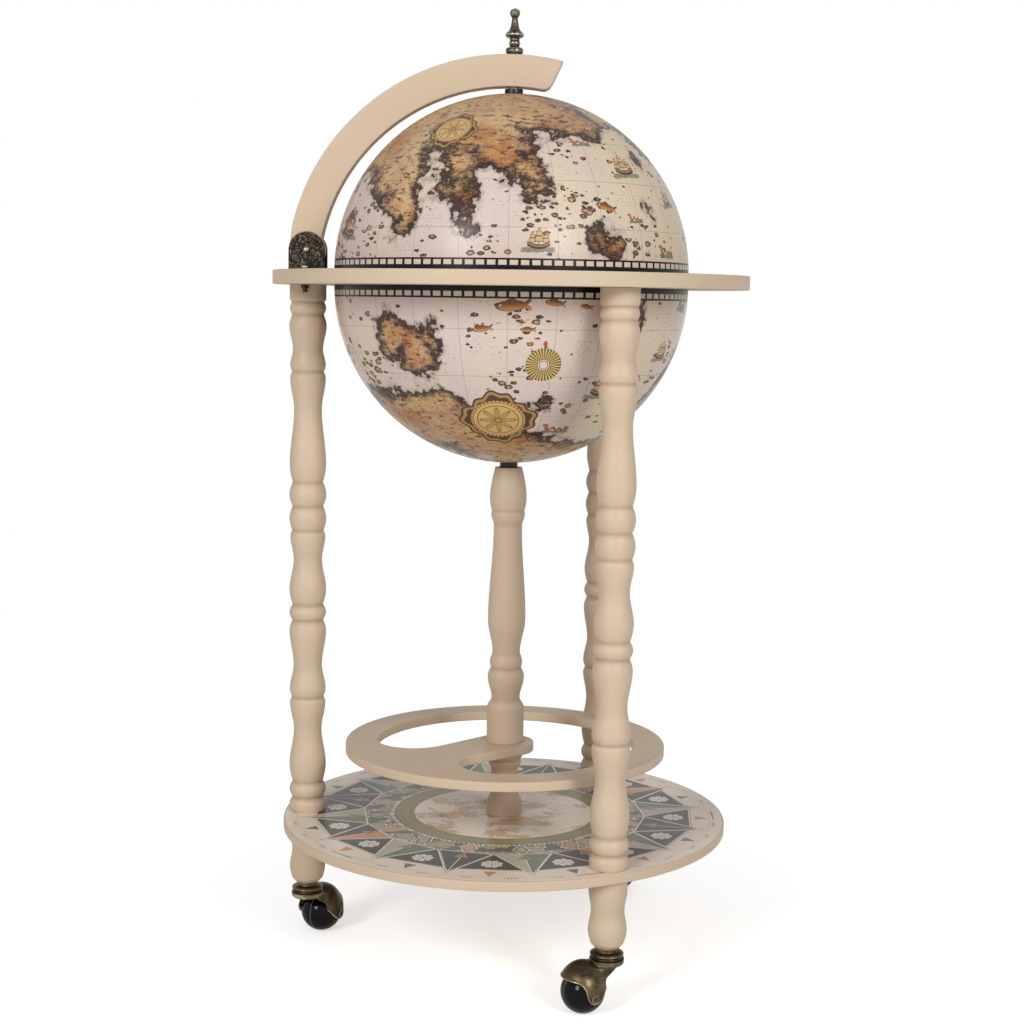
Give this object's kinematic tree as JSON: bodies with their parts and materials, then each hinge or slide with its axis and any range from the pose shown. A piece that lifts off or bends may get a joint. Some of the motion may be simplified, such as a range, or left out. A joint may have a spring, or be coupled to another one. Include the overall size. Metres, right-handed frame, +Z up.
{
  "type": "floor globe bar",
  "caption": "Round drinks stand on turned legs with ball casters, a printed shelf, a bottle ring and a printed globe whose upper half hinges open on a wooden arm.",
  "frame": {"origin": "middle of the bounding box at the floor; the centre post is on the Z axis", "axes": "+Z up, +Y to the back, -X to the lid hinge"},
  "size_m": [0.45, 0.45, 0.9006],
  "materials": {
    "painted_wood": "cream beige satin paint",
    "printed_shelf": "cream beige paint with a printed compass pattern on top",
    "plain_wood": "plain satin wood",
    "printed_shell": "printed map under satin varnish",
    "antique_brass": "dark antique brass",
    "steel": "plain zinc plate",
    "black_gloss": "glossy black",
    "black_plastic": "satin black"
  },
  "bodies": {
    "stand": {"shelf_board": "printed_shelf", "horizon_ring": "painted_wood", "foot_left": "painted_wood", "leg_left": "painted_wood", "leg_stud_left": "steel", "ring_dowel_left": "plain_wood", "caster_socket_left": "steel", "caster_stem_left": "antique_brass", "foot_front": "painted_wood", "leg_front": "painted_wood", "leg_stud_front": "steel", "ring_dowel_front": "plain_wood", "caster_socket_front": "steel", "caster_stem_front": "antique_brass", "foot_back": "painted_wood", "leg_back": "painted_wood", "leg_stud_back": "steel", "ring_dowel_back": "plain_wood", "caster_socket_back": "steel", "caster_stem_back": "antique_brass", "post_rod": "steel", "post_under_washer": "steel", "post_under_nut": "steel", "post_lower": "painted_wood", "bottle_ring": "painted_wood", "post_upper": "painted_wood", "lower_bush": "black_plastic", "lower_inner_washer": "steel", "lower_inner_nut": "steel", "hinge_plate_front": "antique_brass", "bracket_bolt_front": "antique_brass", "bracket_washer_front": "antique_brass", "bracket_nut_front": "antique_brass", "hinge_plate_rear": "antique_brass", "bracket_bolt_rear": "antique_brass", "bracket_washer_rear": "antique_brass", "bracket_nut_rear": "antique_brass", "hinge_pin": "antique_brass", "hinge_pin_cap": "antique_brass"},
    "lower_globe": {"lower_hemisphere": "printed_shell", "bottle_rack": "plain_wood"},
    "lid": {"meridian_arm": "painted_wood", "arm_rod": "steel", "finial": "antique_brass", "upper_bush": "black_plastic", "upper_inner_washer": "steel", "upper_inner_nut": "steel"},
    "upper_globe": {"upper_hemisphere": "printed_shell"},
    "swivel_left": {"caster_hood_left": "antique_brass", "caster_axle_left": "antique_brass"},
    "ball_left": {"caster_ball_left": "black_gloss"},
    "swivel_front": {"caster_hood_front": "antique_brass", "caster_axle_front": "antique_brass"},
    "ball_front": {"caster_ball_front": "black_gloss"},
    "swivel_back": {"caster_hood_back": "antique_brass", "caster_axle_back": "antique_brass"},
    "ball_back": {"caster_ball_back": "black_gloss"}
  },
  "joints": [
    {"name": "lid_hinge", "type": "hinge", "parent": "stand", "child": "lid", "pos_m": [-0.1935, 0, 0.6748], "axis": [0, -1, 0], "range_deg": [0, 95]},
    {"name": "upper_globe_spin", "type": "hinge", "parent": "lid", "child": "upper_globe", "pos_m": [0, 0, 0.74], "axis": [0, 0, 1], "continuous": true},
    {"name": "lower_globe_spin", "type": "hinge", "parent": "stand", "child": "lower_globe", "pos_m": [0, 0, 0.56], "axis": [0, 0, 1], "continuous": true},
    {"name": "caster_swivel_left", "type": "hinge", "parent": "stand", "child": "swivel_left", "pos_m": [-0.1935, 0, 0.0454], "axis": [0, 0, 1], "continuous": true},
    {"name": "caster_roll_left", "type": "hinge", "parent": "swivel_left", "child": "ball_left", "pos_m": [-0.18223, 0.02119, 0.02], "axis": [-0.8829, 0.4695, 0], "continuous": true},
    {"name": "caster_swivel_front", "type": "hinge", "parent": "stand", "child": "swivel_front", "pos_m": [0.09675, -0.16758, 0.0454], "axis": [0, 0, 1], "continuous": true},
    {"name": "caster_roll_front", "type": "hinge", "parent": "swivel_front", "child": "ball_front", "pos_m": [0.07556, -0.17884, 0.02], "axis": [0.4695, -0.8829, 0], "continuous": true},
    {"name": "caster_swivel_back", "type": "hinge", "parent": "stand", "child": "swivel_back", "pos_m": [0.09675, 0.16758, 0.0454], "axis": [0, 0, 1], "continuous": true},
    {"name": "caster_roll_back", "type": "hinge", "parent": "swivel_back", "child": "ball_back", "pos_m": [0.12062, 0.16507, 0.02], "axis": [0.1045, 0.9945, 0], "continuous": true}
  ]
}
